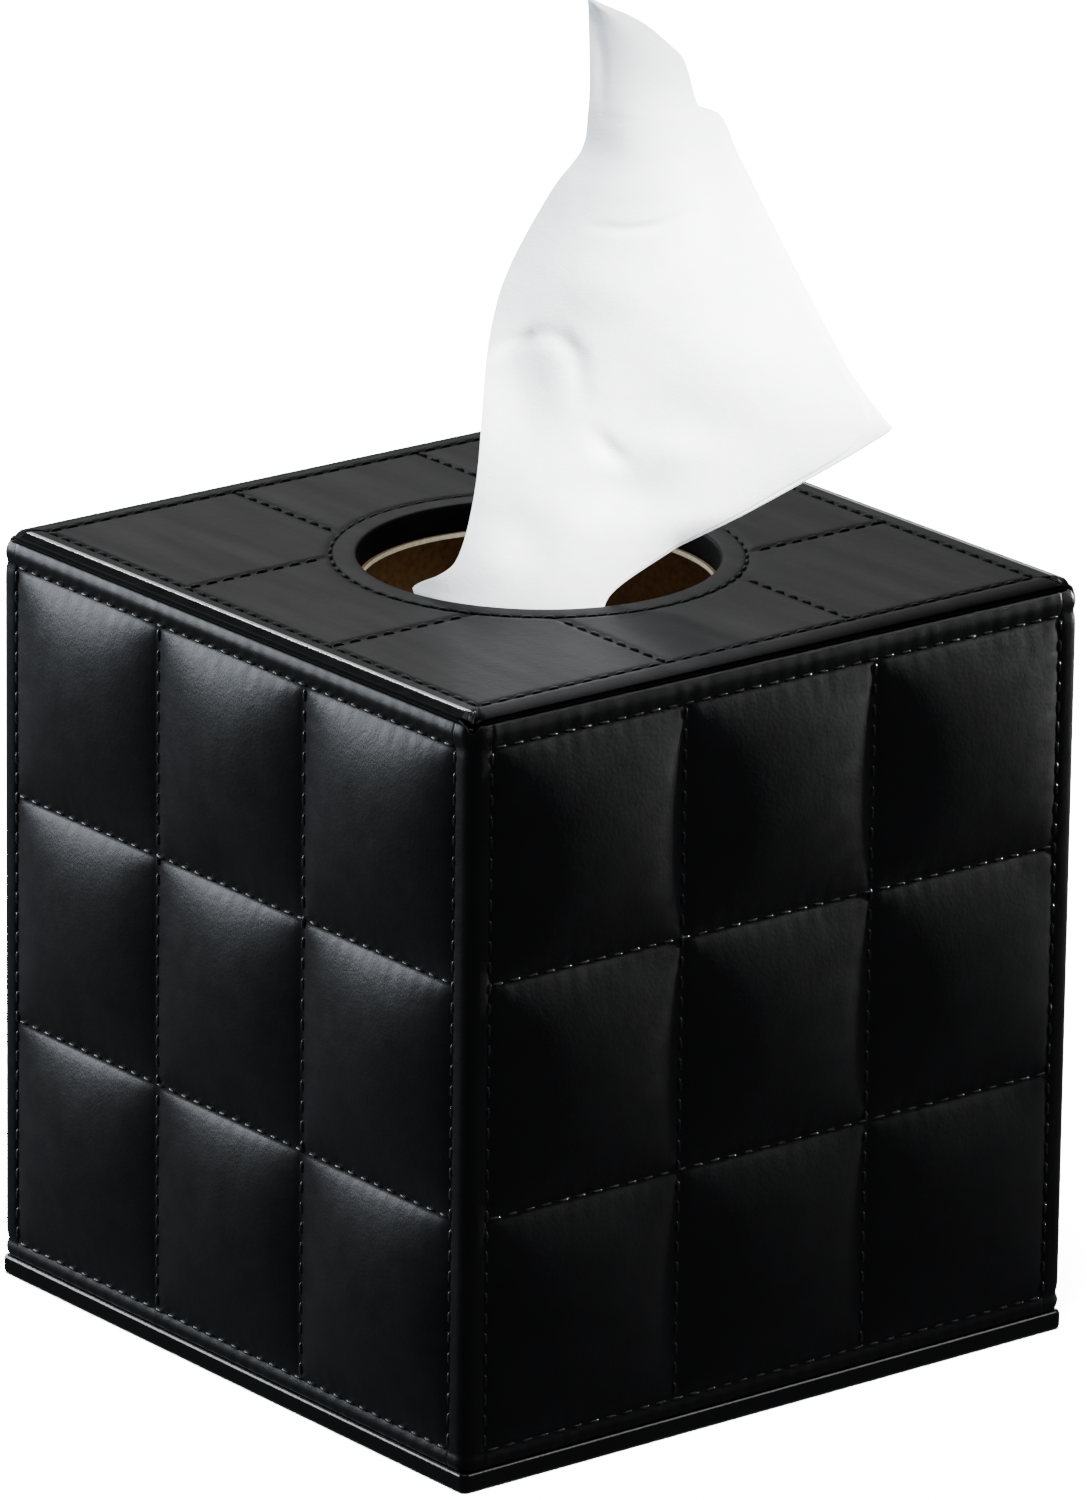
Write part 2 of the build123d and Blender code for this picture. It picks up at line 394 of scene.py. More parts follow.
def tissue_material():
    """Soft white tissue with its crepe and thin places."""
    made = material("tissue", (0.9, 0.91, 0.93), 0.95)
    shader_of(made).inputs["Specular IOR Level"].default_value = 0.1
    crepe = noise(made, place_socket(made, (1.0, 1.0, 4.0)), 1.0, 5.0)
    thin = noise(made, place_socket(made), 8.0, 3.0)
    tint(made, thin, ((0.3, (0.86, 0.87, 0.90)), (0.7, (0.94, 0.95, 0.96))))
    bump(made, ((crepe, 0.05), (thin, 0.25)))
    return made


def floor_material():
    """Plain pale floor."""
    made = material("floor", (0.86, 0.86, 0.87), 0.9)
    shader_of(made).inputs["Specular IOR Level"].default_value = 0.0
    patches = noise(made, place_socket(made), 400.0)
    tint(made, patches, ((0.3, (0.85, 0.85, 0.86)), (0.7, (0.87, 0.87, 0.88))))
    return made


# One black leather in lit and shaded copies: its tone is painted paler on the walls (0.02) and darker on
# the top and its edges (0.0065).
wall_leather = leather_material("wall_leather", (1.0, 1.0, 1.0), 0.36, 0.42, 0.02)
top_leather = leather_material("top_leather", (0.12, 1.0, 1.0), 0.50, 0.03, 0.0065)
edge_leather = leather_material("edge_leather", (1.0, 1.0, 1.0), 0.16, 0.8, 0.0065)
# One black thread in two tones: paler on the walls as a painted glint, darker on the top as painted shade.
wall_thread = thread_material("wall_thread", 0.06, 0.2, 0.5)
top_thread_painted_shade = thread_material("top_thread_painted_shade", 0.012, 0.5, 0.05)
brown_lining = lining_material()
painted_highlight_lining = lining_edge_material()
board = board_material()
foam = foam_material()
magnet = magnet_material()
tissue = tissue_material()

for name, obj in frame["nodes"].items():
    finish = None
    if name == "top_lining":
        finish = painted_highlight_lining
    elif name.endswith("_lining"):
        finish = brown_lining
    elif name.endswith("_board"):
        finish = board
    elif name.endswith("_magnets"):
        finish = magnet
    elif name == "base_cover":
        finish = edge_leather
    if finish:
        obj.data.materials.clear()
        obj.data.materials.append(finish)


# Quilted walls

def inflate():
    """Cells of one wall, sewn down along their seams and blown up as cloth, in cell widths."""
    count = CELLS * CELL_STEPS + 1
    steps = np.arange(count)
    across, up = np.meshgrid(steps / CELL_STEPS, steps / CELL_STEPS)
    sewn = (steps % CELL_STEPS == 0)
    held = sewn[None, :] | sewn[:, None]
    swell = np.abs(np.sin(math.pi * across) * np.sin(math.pi * up))
    uneven = np.random.default_rng(CLOTH_SEED).standard_normal(swell.shape)
    rise = np.where(held, 0.0, START_RISE * swell + START_UNEVEN * uneven)
    points = np.stack([across, up, rise], axis=-1)
    mesh = bpy.data.meshes.new("quilting")
    mesh.from_pydata(points.reshape(-1, 3).tolist(), [], grid_faces(count, count))
    cloth = link(bpy.data.objects.new("quilting", mesh))
    group = cloth.vertex_groups.new(name="sewn")
    group.add(np.flatnonzero(held).tolist(), 1.0, "REPLACE")
    modifier = cloth.modifiers.new("cloth", "CLOTH")
    settings = modifier.settings
    settings.vertex_group_mass = "sewn"
    settings.tension_stiffness = 15
    settings.compression_stiffness = 15
    settings.shear_stiffness = 5
    settings.bending_stiffness = 0.6
    settings.use_pressure = True
    settings.uniform_pressure_force = 6
    settings.shrink_min = 0.0
    settings.effector_weights.gravity = 0
    modifier.collision_settings.use_collision = False
    scene = bpy.context.scene
    modifier.point_cache.frame_start = 1
    modifier.point_cache.frame_end = CLOTH_FRAMES
    for number in range(1, CLOTH_FRAMES + 1):
        scene.frame_set(number)
    shown = cloth.evaluated_get(bpy.context.evaluated_depsgraph_get())
    values = np.zeros(points.size, np.float32)
    shown.data.vertices.foreach_get("co", values)
    bpy.data.objects.remove(cloth)
    scene.frame_set(1)
    return values.reshape(points.shape).astype(float)


def finer(values, axis):
    """Twice the steps along one axis, smooth inside each cell and creased at its seams."""
    values = np.moveaxis(values, axis, 0)
    runs = []
    for start in range(0, len(values) - 1, CELL_STEPS):
        run = values[start:start + CELL_STEPS + 1]
        before = 3 * run[:1] - 3 * run[1:2] + run[2:3]
        after = 3 * run[-1:] - 3 * run[-2:-1] + run[-3:-2]
        wide = np.concatenate([before, run, after])
        middles = (9 * (wide[1:-2] + wide[2:-1]) - wide[:-3] - wide[3:]) / 16
        woven = np.stack([run[:-1], middles], axis=1).reshape(-1, *run.shape[1:])
        runs.append(woven)
    runs.append(values[-1:])
    return np.moveaxis(np.concatenate(runs), 0, axis)


def quilt_field():
    """Quilted field of a wall: x along it, y up and the rise of the leather, in millimetres."""
    cells = inflate()
    rise = np.maximum(cells[..., 2], 0.0)
    cells[..., 2] = CROWN * (rise / np.percentile(rise, FULL_PERCENT)) ** FULLNESS
    cells = finer(finer(cells, 0), 1)
    x = -field + cells[..., 0] * 2 * field / CELLS
    y = field_low + cells[..., 1] * (field_high - field_low) / CELLS
    return np.stack([x, y, np.clip(cells[..., 2], 0, CROWN)], axis=-1)


def stitch_pucker(distance, along):
    """Small uneven rises that the stitches draw up beside a seam."""
    reach = distance / PUCKER_REACH
    short, long = PUCKER_WAVES
    uneven = PUCKER_SHARE + PUCKER_SWING * np.sin(short * along + PUCKER_START) * np.sin(long * along)
    return PUCKER * uneven * reach * np.exp(1 - reach) * np.cos(2 * math.pi * along / pitch)


def with_puckers(points):
    """Add the puckers of every seam of a wall."""
    x, y, rise = points[..., 0], points[..., 1], points[..., 2].copy()
    inside = rise > SEWN_DOWN
    added = np.zeros_like(rise)
    for line in range(CELLS + 1):
        seam_x = -field + line * 2 * field / CELLS
        seam_y = field_low + line * (field_high - field_low) / CELLS
        added += stitch_pucker(np.abs(x - seam_x), y - field_low)
        added += stitch_pucker(np.abs(y - seam_y), x + field)
    rise = np.where(inside, np.maximum(rise + added, 0.0), rise)
    return np.stack([x, y, rise], axis=-1)


# A rolled hem from its stitches to its edge, as shares of its width and its rise
HEM_PROFILE = (
    (0.10, 0.25), (0.20, 0.50), (0.30, 0.72), (0.40, 0.90), (0.50, 1.0), (0.58, 0.99),
    (0.68, 0.88), (0.80, 0.66), (0.90, 0.42), (0.97, 0.20), (1.0, 0.0),
)
HEM_LIFT = 1.2  # how much wider the upper hem is
LOW_HEM_RISE = 0.5
HEM_PUCKER = 2.0  # how strongly stitches draw up a hem
# How its edge turns in, past its last row: distance past the edge and rise
HEM_CURL = ((0.0, -0.35), (-0.15, -0.75))


def hem(width, rise):
    """Rows of a rolled hem, from its stitches to its turned edge: distance from the stitches and rise."""
    rows = [(width * distance, rise * share) for distance, share in HEM_PROFILE]
    return rows + [(width + distance, turned) for distance, turned in HEM_CURL]


low_hem = hem(END_BORDER, LOW_HEM_RISE)
high_hem = hem(END_BORDER + HEM_LIFT, HEM_RISE)


def wall_surface(quilt):
    """Outer face of a wall's leather: the quilted field, both hems and the tucked sides."""
    bottom, top = quilt[0], quilt[-1]
    lower, upper = [], []
    for height, rise in low_hem:
        drawn = HEM_PUCKER * stitch_pucker(height, bottom[:, 0] + field)
        lower.insert(0, np.stack([bottom[:, 0], bottom[:, 1] - height, rise + drawn], axis=-1))
    for height, rise in high_hem:
        drawn = HEM_PUCKER * stitch_pucker(height, top[:, 0] + field)
        upper.append(np.stack([top[:, 0], top[:, 1] + height, rise + drawn], axis=-1))
    rows = np.concatenate([np.array(lower), quilt, np.array(upper)])
    tucked = []
    for side in (0, -1):
        column = rows[:, side].copy()
        column[:, 0] += TUCK if side else -TUCK
        column[:, 2] -= TUCK_DROP
        tucked.append(column[:, None])
    return np.concatenate([tucked[0], rows, tucked[1]], axis=1)


def stand(points, turn):
    """Turn wall points (along, up, rise above the seams) to their side of the body."""
    out = -(seam + points[..., 2])
    return turn_points(np.stack([points[..., 0], out, points[..., 1]], axis=-1), turn)


def turned_quilt(quilt, wall):
    """The same cells laid another way round, so that no two walls crease alike."""
    rise = quilt[..., 2]
    for _ in range(wall):
        rise = rise.T[::-1]
    return np.stack([quilt[..., 0], quilt[..., 1], rise], axis=-1)


WALLS = ("front", "right", "back", "left")
FOAM_SKIP = 4  # foam has one mesh step for this many of the leather
FOAM_SHEET = 0.9  # foam under the seams
quilt = quilt_field()
for index, wall in enumerate(WALLS):
    turn = 90 * index
    laid = turned_quilt(quilt, index)
    surface = wall_surface(with_puckers(laid))
    cover = grid_mesh(wall + "_quilt_leather", stand(surface, turn), wall_leather)
    thicken(cover, LEATHER)
    place(cover, "shell", "black_leather", wall + "_quilt_cover")
    core = laid[::FOAM_SKIP, ::FOAM_SKIP][1:-1, 1:-1].copy()
    core[..., 2] -= LEATHER + FOAM_GAP
    pad = grid_mesh(wall + "_foam_pad", stand(core, turn), foam)
    thicken(pad, FOAM_SHEET)
    place(pad, "shell", "foam", wall + "_foam")


# Corner bindings

# How a binding rolls up from its stitches: distance past them and drop below its face
BINDING_ROLL = ((0.2, 0.3), (0.5, 0.12), (1.0, 0.03))
BINDING_PUCKER = 0.06  # rise between its stitches
PUCKER_DROP = 0.2  # drop of the roll where it puckers most
PUCKER_BAND = 0.15
END_SHARE = 0.75  # its drop at the hems, as a share of the seams'
END_REACH = 0.9


def binding_surface():
    """Leather over the front right corner, from one row of stitches round to the other."""
    flat_end = edge - CORNER_RADIUS
    roll = [(field + past, drop) for past, drop in BINDING_ROLL]
    plan = [(field, seam_drop), *roll, (flat_end, 0.0)]
    points, drops, outward = [], [], []
    for x, drop in plan:
        points.append((x, -edge))
        drops.append(drop)
        outward.append((0.0, -1.0))
    for step in range(1, CORNER_TURNS):
        angle = math.pi / 2 * step / CORNER_TURNS
        outward.append((math.sin(angle), -math.cos(angle)))
        x = flat_end + CORNER_RADIUS * math.sin(angle)
        y = -flat_end - CORNER_RADIUS * math.cos(angle)
        points.append((x, y))
        drops.append(0.0)
    for x, drop in reversed(plan):
        points.append((edge, -x))
        drops.append(drop)
        outward.append((1.0, 0.0))
    points, drops, outward = np.array(points), np.array(drops), np.array(outward)
    turned = (2 * outward[:, 0] * outward[:, 1]) ** 2
    hem_height = max(height for height, rise in high_hem)
    heights = []
    for height, rise in reversed(low_hem):
        heights.append((field_low - height, rise, True))
    steps = STITCHES * STITCH_STEPS
    for step in range(steps + 1):
        heights.append((field_low + (field_high - field_low) * step / steps, 0.0, False))
    for height, rise in high_hem:
        heights.append((field_high + height, rise, True))
    rows = []
    for z, rise, in_hem in heights:
        if in_hem:
            pinch = CORNER_PINCH if z > field_high else 0.0
            drop = seam_drop - rise * (1 - pinch * turned)
        else:
            end = min(z - field_low, field_high - z)
            drop = np.maximum(drops, END_SHARE * seam_drop * math.exp(-(end / END_REACH) ** 2))
            draw = BINDING_PUCKER * math.cos(2 * math.pi * (z - field_low) / pitch)
            drop = drop - draw * np.exp(-((drops - PUCKER_DROP) / PUCKER_BAND) ** 2)
        plan_points = points - outward * drop[:, None]
        fall = CORNER_FALL * turned * max(z - field_high, 0.0) / hem_height
        rows.append(np.column_stack([plan_points, z - fall]))
    return np.array(rows)


CORNERS = ("front_right", "back_right", "back_left", "front_left")
strip = binding_surface()
for index, corner in enumerate(CORNERS):
    binding = grid_mesh(corner + "_binding_leather", turn_points(strip, 90 * index), wall_leather)
    thicken(binding, LEATHER)
    place(binding, "shell", "black_leather", corner + "_corner_binding")


# Top panel

PANEL_LINES = 181  # mesh lines across the panel
CORNER_LINES = 10  # closer lines at each end
CORNER_ZONE = 2.6  # width of their zone


def panel_steps():
    """Lines of the top panel's mesh, closer together near the corners."""
    inner_end = top_field - CORNER_ZONE
    inner = np.linspace(-inner_end, inner_end, PANEL_LINES)
    outer = np.linspace(inner_end, top_field, CORNER_LINES + 1)[1:]
    return np.concatenate([-outer[::-1], inner, outer])


def panel_rise(x, y):
    """Height of the top leather above its edge seam, with its sewn grid."""
    rise = np.zeros_like(x)
    cell = 2 * top_field / CELLS
    nearest = np.full_like(x, FAR)
    for line in range(CELLS + 1):
        at = -top_field + line * cell
        for distance, along in ((np.abs(x - at), y), (np.abs(y - at), x)):
            nearest = np.minimum(nearest, distance)
            rise += TOP_PUCKER * stitch_pucker(distance, along + top_field)
    swell = np.abs(np.cos(math.pi * (x / cell)) * np.cos(math.pi * (y / cell))) ** 0.5
    nearest = np.minimum(nearest, np.maximum(np.hypot(x, y) - ring, 0.0))
    groove = np.exp(-(nearest / TOP_GROOVE_REACH) ** 2)
    return top_high + TOP_SWELL * swell + rise - TOP_GROOVE * groove


# From the border stitches out over the crest, down the edge and under: distance out and height
# The front and back edges are folded sharply, the other two are rolled and creased
FOLDED_EDGE = (
    (0.4, -0.18), (0.8, -0.03), (1.3, 0.03), (2.0, 0.06), (2.8, 0.09), (3.3, 0.1),
    (3.55, 0.08), (3.75, 0.02), (3.95, -0.09), (4.2, -0.25), (4.6, -0.5), (5.0, -0.75),
    (5.4, -1.0), (5.7, -1.17), (5.84, -1.28), (5.8, -1.4), (5.5, -1.47), (3.6, -1.5),
)
ROLLED_EDGE = (
    (0.4, -0.16), (0.8, -0.02), (1.2, 0.05), (1.6, 0.05), (2.0, 0.01), (2.4, -0.05),
    (2.9, -0.13), (3.4, -0.24), (3.9, -0.38), (4.4, -0.56), (4.8, -0.75), (5.15, -0.95),
    (5.4, -1.12), (5.6, -1.26), (5.68, -1.36), (5.62, -1.44), (5.3, -1.49), (3.6, -1.5),
)
CREST_ROWS = range(5, 14)  # glossy crest of a folded edge
PLATE_EDGE = 1.5  # height of the top plate's edge
PLATE_CORNER = 4.2  # its corner radius, seen from above
FOLD_DEPTH = 0.6  # crease beside each corner
FOLD_ANGLE = 0.55  # its place round the corner, in radians
FOLD_WIDTH = 0.12
HIDDEN_LAP = 1.2  # top leather under the rim of the opening


def edge_loop(lines, folded, rolled):
    """One loop round the top panel, for this row of both edge profiles, with round corners."""
    straight = lines[-1 - CORNER_LINES]
    round_zone = lines[-1] - straight
    loop = []
    for side in range(4):
        for t in lines[:-1]:
            own, other = (folded, rolled) if side % 2 == 0 else (rolled, folded)
            angle = math.pi / 4 * max(abs(t) - straight, 0.0) / round_zone
            share = 0.5 * math.tan(angle)
            out = own[0] + share * (other[0] - own[0])
            fall = own[1] + share * (other[1] - own[1])
            half = top_field + out
            radius = PLATE_CORNER * min(out / TOP_BORDER, 1.0)
            middle = half - radius
            fold = 0.0
            if angle == 0.0:
                x, y = t * middle / straight, -half
            else:
                x = math.copysign(middle + radius * math.sin(angle), t)
                y = -middle - radius * math.cos(angle)
                fold = math.exp(-((angle - FOLD_ANGLE) / FOLD_WIDTH) ** 2) * min(out / TOP_BORDER, 1.0)
            drawn = (math.sin(2 * angle) * out / TOP_BORDER) ** 2
            z = top_high + fall - FOLD_DEPTH * fold * (1 + fall / PLATE_EDGE) - CORNER_FALL * drawn
            loop.append((x, y, z))
    loop = np.array(loop).reshape(4, -1, 3)
    return np.concatenate([turn_points(loop[side], 90 * side) for side in range(4)])


def top_surface():
    """Top leather: points, faces of the sewn panel with its round hole, and faces of the edge round it."""
    lines = panel_steps()
    count = len(lines)
    x, y = np.meshgrid(lines, lines)
    points = np.stack([x, y, panel_rise(x, y)], axis=-1).reshape(-1, 3)
    panel = np.array(grid_faces(count, count))
    middles = points[panel].mean(axis=1)
    panel = panel[np.hypot(middles[:, 0], middles[:, 1]) > ring - HIDDEN_LAP]
    index = np.arange(count * count).reshape(count, count)
    last = np.concatenate([index[0, :-1], index[:-1, -1], index[-1, :0:-1], index[:0:-1, 0]])
    loops, rolled = [points], []
    for folded, turned in zip(FOLDED_EDGE, ROLLED_EDGE):
        start = sum(len(loop) for loop in loops)
        loops.append(edge_loop(lines, folded, turned))
        fresh = start + np.arange(len(last))
        rolled.append(np.column_stack([last, fresh, np.roll(fresh, -1), np.roll(last, -1)]))
        last = fresh
    faces = np.concatenate([panel, *rolled])
    used, renumbered = np.unique(faces, return_inverse=True)
    return np.concatenate(loops)[used], renumbered.reshape(faces.shape).tolist(), len(panel)


top_points, top_faces, panel_count = top_surface()
top = new_mesh("top_leather_panel", top_points, top_faces, top_leather)
top.data.materials.append(edge_leather)
side_faces = len(panel_steps()) - 1
for face in top.data.polygons[panel_count:]:
    row, place_in_row = divmod(face.index - panel_count, 4 * side_faces)
    on_folded_side = place_in_row // side_faces % 2 == 0
    if on_folded_side and row in CREST_ROWS:
        face.material_index = 1
thicken(top, LEATHER)
place(top, "shell", "black_leather", "top_cover")

# Foam under the top leather
FOAM_SIDES = 96
FOAM_FIT = 0.3  # room round the foam and in its hole
FOAM_HIGH = 1.05  # thickness of the foam
FOAM_OUTSIDE = ((0.0, 0.0), (0.0, 0.8), (0.6, FOAM_HIGH))  # inset and height, from the board up
FOAM_HOLE = (FOAM_HIGH, 0.0)
foam_edge = board_face - FOAM_FIT
foam_hole = opening + LEATHER + FOAM_FIT
around = [2 * math.pi * side / FOAM_SIDES for side in range(FOAM_SIDES)]
loops = []
for inset, height in FOAM_OUTSIDE:
    for angle in around:
        reach = (foam_edge - inset) / max(abs(math.cos(angle)), abs(math.sin(angle)))
        loops.append((reach * math.cos(angle), reach * math.sin(angle), foam_low + height))
for height in FOAM_HOLE:
    for angle in around:
        loops.append((foam_hole * math.cos(angle), foam_hole * math.sin(angle), foam_low + height))
rings = len(FOAM_OUTSIDE) + len(FOAM_HOLE)
last_ring = (rings - 1) * FOAM_SIDES
faces = grid_faces(rings, FOAM_SIDES, closed=True)
for side in range(FOAM_SIDES):
    after = (side + 1) % FOAM_SIDES
    faces.append((last_ring + side, last_ring + after, after, side))
top_pad = new_mesh("top_foam_pad", loops, faces, foam)
place(top_pad, "shell", "foam", "top_foam")

# Rolled rim of the opening
COLLAR_SIDES = 252
COLLAR_PUCKER = 0.05  # rise between the stitches of its ring
PUCKER_INSIDE = 0.5  # distance of the puckers inside the ring
PUCKER_WIDTH = 0.7
# Distance out from the ring of stitches and height above the leather
COLLAR_PROFILE = (
    (0.1, -0.6), (0.0, -0.3), (-0.15, -0.1), (-0.4, 0.0), (-0.8, 0.04), (-2.0, 0.06),
    (-3.2, 0.06), (-3.9, 0.03), (-4.2, -0.03), (-4.4, -0.18), (-4.48, -0.45), (-4.5, -1.0),
    (-4.5, -1.8), (-4.5, -2.9), (-4.5, -4.0), (-4.5, -5.0),
)
rim = []
for outwards, height in COLLAR_PROFILE:
    near_ring = math.exp(-((outwards + PUCKER_INSIDE) / PUCKER_WIDTH) ** 2)
    radius = ring + outwards
    for side in range(COLLAR_SIDES):
        angle = 2 * math.pi * side / COLLAR_SIDES
        draw = COLLAR_PUCKER * math.cos(RING_STITCHES * angle) * near_ring
        rim.append((radius * math.cos(angle), radius * math.sin(angle), top_high + height + draw))
faces = grid_faces(len(COLLAR_PROFILE), COLLAR_SIDES, closed=True)
collar = new_mesh("opening_rim_leather", rim, faces, top_leather)
thicken(collar, LEATHER)
place(collar, "shell", "black_leather", "opening_collar")


# Stitching

STITCH_DIP = 0.5  # how far the ends of a stitch go down
STITCH_END = 0.12  # thickness left at its ends, as a share of its section
RING_CLEAR = 0.8  # room between the panel's stitches and the ring's
RING_SHIFT = 0.1  # ring's stitches outside the rim


def stitches(name, places, tangents, normal, thread):
    """Rows of arched stitches on one face, as one piece."""
    rings, sides = 7, 6
    along = np.linspace(-1, 1, rings)
    lift = STITCH_RISE - STITCH_RADIUS - STITCH_DIP * along ** 4
    girth = STITCH_RADIUS * np.sqrt(np.maximum(1 - np.abs(along) ** 5, STITCH_END))
    places, tangents, normal = np.array(places), np.array(tangents), np.array(normal)
    sideways = np.cross(normal, tangents)
    angle = 2 * math.pi * np.arange(sides) / sides
    centre = (
        places[:, None]
        + tangents[:, None] * (along * STITCH_LENGTH / 2)[None, :, None]
        + normal * lift[None, :, None]
    )
    ring_out = normal * np.sin(angle)[None, :, None] + sideways[:, None] * np.cos(angle)[None, :, None]
    points = centre[:, :, None, :] + girth[None, :, None, None] * ring_out[:, None, :, :]
    faces = []
    one = grid_faces(rings, sides, closed=True)
    one += [tuple(range(sides))[::-1], tuple((rings - 1) * sides + s for s in range(sides))]
    for number in range(len(places)):
        faces += [tuple(i + number * rings * sides for i in face) for face in one]
    obj = new_mesh(name, points.reshape(-1, 3), faces, thread)
    return place(obj, "shell", "black_leather")


rng = np.random.default_rng(THREAD_SEED)
for index, wall in enumerate(WALLS):
    places, tangents = [], []
    for line in range(CELLS + 1):
        x = -field + line * 2 * field / CELLS
        y = field_low + line * (field_high - field_low) / CELLS
        for number in range(STITCHES):
            share = (number + 0.5) / STITCHES
            lean = rng.normal(0.0, THREAD_LEAN)
            places.append((x, field_low + (field_high - field_low) * share, 0.0))
            tangents.append((lean, 0.0, 1.0))
            places.append((-field + 2 * field * share, y, 0.0))
            tangents.append((1.0, 0.0, lean))
    turn = 90 * index
    places = stand(np.array(places), turn)
    tangents = turn_points(np.array(tangents), turn)
    out = turn_points(np.array((0.0, -1.0, 0.0)), turn)
    stitches(wall + "_stitching", places, tangents, out, wall_thread)

places, tangents = [], []
thread_height = top_high - STITCH_SINK
for line in range(CELLS + 1):
    at = -top_field + line * 2 * top_field / CELLS
    for number in range(STITCHES):
        along = -top_field + 2 * top_field * (number + 0.5) / STITCHES
        if math.hypot(at, along) > ring + RING_CLEAR:
            places += [(at, along, thread_height), (along, at, thread_height)]
            tangents += [(0.0, 1.0, 0.0), (1.0, 0.0, 0.0)]
radius = ring + RING_SHIFT
for number in range(RING_STITCHES):
    angle = 2 * math.pi * number / RING_STITCHES
    places.append((radius * math.cos(angle), radius * math.sin(angle), thread_height))
    tangents.append((-math.sin(angle), math.cos(angle), 0.0))
stitches("top_stitching", places, tangents, (0.0, 0.0, 1.0), top_thread_painted_shade)

# Hinge strip of the base flap
STRIP_ROWS = 29
STRIP_COLUMNS = 81
STRIP_ROLL = 0.35  # bulge of the strip along the hinge
ROLL_REACH = 0.8
strip_low, strip_high = low("hinge_strip"), high("hinge_strip")
hinge = frame["joints"][0]["pos_m"]
columns = np.linspace(strip_high[0], strip_low[0], STRIP_COLUMNS)
rows = []
for z in np.linspace(strip_low[2], strip_high[2], STRIP_ROWS):
    roll = STRIP_ROLL * math.exp(-((z - hinge[2] / MM) / ROLL_REACH) ** 2)
    rows.append([(x, edge + LEATHER + roll, z) for x in columns])
hinge_leather = grid_mesh("hinge_leather", np.array(rows), wall_leather)
thicken(hinge_leather, LEATHER)
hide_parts("hinge_strip")
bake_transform(hinge_leather)

# Stack of tissues
SHEETS = 30
STACK_SIDES = 160
STACK_SEED = 3
STACK_FIT = 0.8  # room round the stack
SQUARENESS = 14.0  # power of the rounded square that a sheet follows
SLIP = 0.35  # how unevenly the sheets lie
MOST_SLIP = 0.7
TOP_SINK = 0.15  # edge of the top sheet below the stack's top, in sheets
TOP_BULGE = 0.3
# One sheet's edge: share of its thickness and inset
SHEET_PROFILE = ((0.0, 1.1), (0.15, 0.5), (0.5, 0.25), (0.85, 0.5))
# The top sheet, from its edge to its middle: share of its width and of its bulge
TOP_SHEET = ((0.985, 0.35), (0.8, 0.7), (0.4, 0.85), (0.05, 0.9))
stack_points = []
stack_half = (stack_high[:2] - stack_low[:2]) / 2
sheet_step = (stack_high[2] - stack_low[2]) / SHEETS
rng = np.random.default_rng(STACK_SEED)
for sheet in range(SHEETS):
    slip = np.clip(rng.normal(0.0, SLIP, 2), -MOST_SLIP, MOST_SLIP)
    for share, inset in SHEET_PROFILE:
        half = stack_half - inset - STACK_FIT
        z = stack_low[2] + (sheet + share) * sheet_step
        for side in range(STACK_SIDES):
            angle = 2 * math.pi * side / STACK_SIDES
            across, along = math.cos(angle), math.sin(angle)
            scale = (abs(across) ** SQUARENESS + abs(along) ** SQUARENESS) ** (-1 / SQUARENESS)
            stack_points.append((half[0] * across * scale + slip[0], half[1] * along * scale + slip[1], z))
top_edge = stack_points[-STACK_SIDES:]
for shrink, bulge in TOP_SHEET:
    z = stack_high[2] - sheet_step * TOP_SINK + bulge * TOP_BULGE
    stack_points += [(x * shrink, y * shrink, z) for x, y, _ in top_edge]
stack_rows = len(stack_points) // STACK_SIDES
faces = grid_faces(stack_rows, STACK_SIDES, closed=True)
faces.append(tuple(range(STACK_SIDES))[::-1])
faces.append(tuple((stack_rows - 1) * STACK_SIDES + side for side in range(STACK_SIDES)))
stack = new_mesh("folded_tissues", stack_points, faces, tissue)
place(stack, "shell", "tissue", "tissue_stack")


# Pulled tissue, folded in two along its left edge and gathered in the opening

TURN = math.radians(51.0)  # heading of the sheet's width
ACROSS = np.array((math.cos(TURN), math.sin(TURN), 0.0))
TOWARDS = np.array((math.sin(TURN), -math.cos(TURN), 0.0))
UPWARDS = np.array((0.0, 0.0, 1.0))
PLY = 0.2
TAIL_ROWS = 44
SHEET_ROWS = 190
SHEET_COLUMNS = 76
TAIL_FIT = 1.5  # room between the tail and the rim
TAIL_HALF = 24  # half width over which the tail follows the rim's round
BLEND_RISE = 16.0  # height over which that round opens to the flat sheet
FREE_RISE = 8.0  # height over which the folds begin
FAN_DEPTH = 0.9  # gathers that fan out of the opening
FAN_HEIGHT = 16  # where they are deepest, and how far they reach
FAN_WAVES = 7.5  # radians across the sheet
FAN_START = 0.6
FAN_TWIST = 0.02  # radians a millimetre up
SWAY_DEPTH = 0.6  # slow waves of the whole sheet
SWAY_ACROSS = 9.0  # millimetres a radian
SWAY_UP = 17.0
SWAY_CHANGE = 21.0
SWAY_START = 0.7
CURL_DEPTH = 1.2  # curl of the folded edge near the tip
CURL_SHARE = 0.35  # its reach, as a share of the width
CURL_FROM = 72
CURL_RISE = 25
LAYER_GAP = 1.3  # widest gap between the layers
FOLD_SHARE = 0.03  # share of the width that the fold's round takes
FOLD_SHARES = (0.0, 0.0015, 0.006, 0.014, 0.022)
GAP_LEAST = 0.55  # gap beside the fold, as a share of the widest
GAP_SWELL = 0.45
GAP_WAVE = 0.8  # half waves across the width
TIP_CLOSES = 12  # height over which the gap closes to the tip
TIP_GAP = 0.25
CREASE_END = 0.25  # depth of a crease at its ends, as a share
